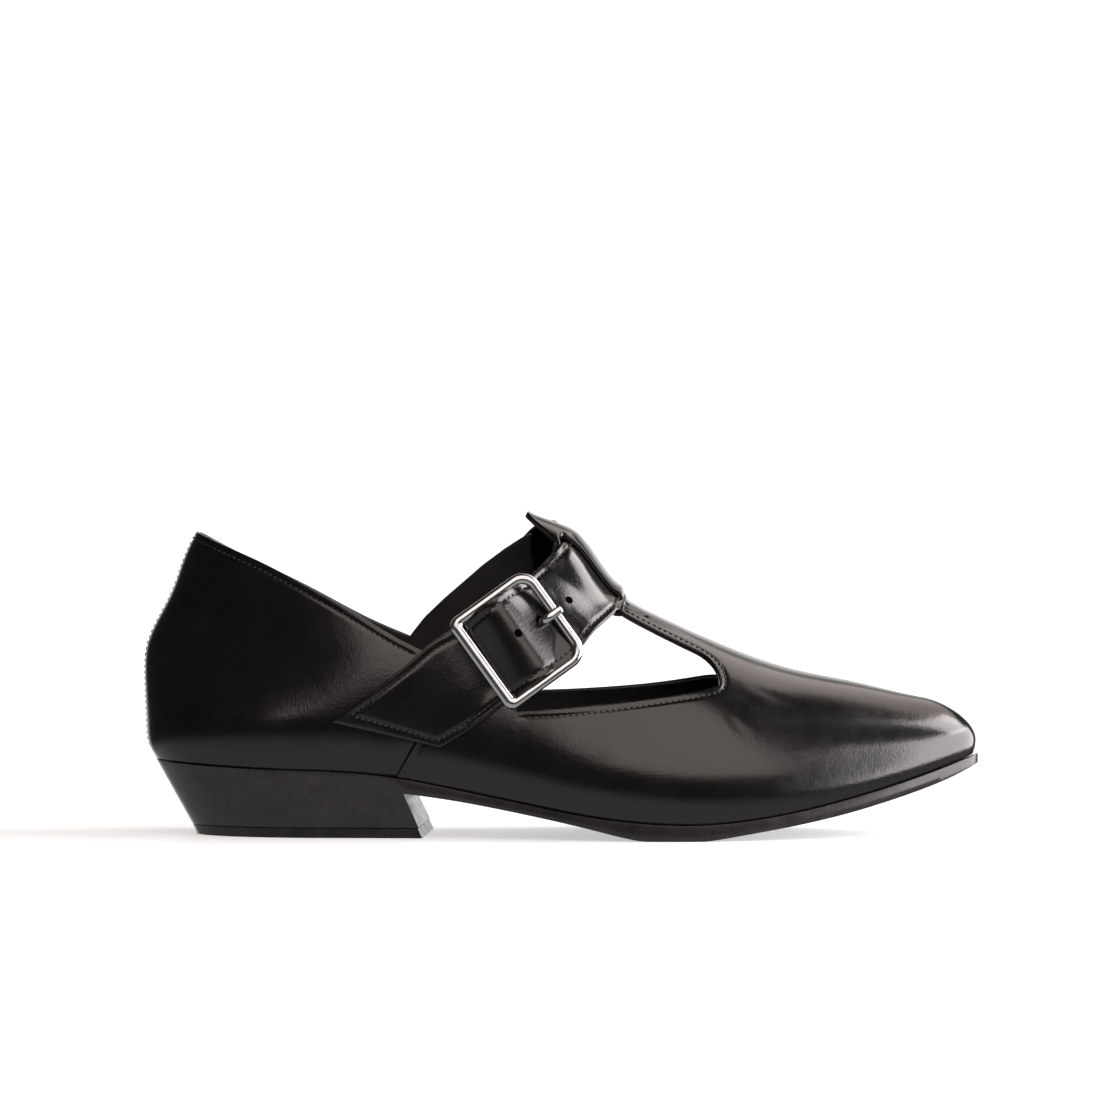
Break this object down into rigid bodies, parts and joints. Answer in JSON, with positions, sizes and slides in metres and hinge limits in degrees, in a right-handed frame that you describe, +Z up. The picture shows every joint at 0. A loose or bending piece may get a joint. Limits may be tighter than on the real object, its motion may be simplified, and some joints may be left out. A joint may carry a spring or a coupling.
{
  "type": "t-strap shoe",
  "caption": "Women's leather T-strap shoe for the right foot, with a pointed toe, a buckled instep strap through the T-bar and a low block heel.",
  "frame": {"origin": "floor level, below the middle of the overall box", "axes": "+X from heel to toe, +Y from the lateral to the medial side, +Z up from the floor"},
  "size_m": [0.265, 0.0797, 0.1025],
  "materials": {
    "upper": "smooth, polished black",
    "strap": "smooth, polished black",
    "sole": "satin black",
    "heel_top_piece": "matt black",
    "insole": "matt",
    "buckle_frame": "polished",
    "buckle_prong": "polished",
    "buckle_chape": "smooth black"
  },
  "bodies": {
    "root": {"upper": "upper", "strap": "strap", "sole": "sole", "heel_top_piece": "heel_top_piece", "insole": "insole", "buckle_frame": "buckle_frame", "buckle_prong": "buckle_prong", "buckle_chape": "buckle_chape"}
  },
  "joints": []
}
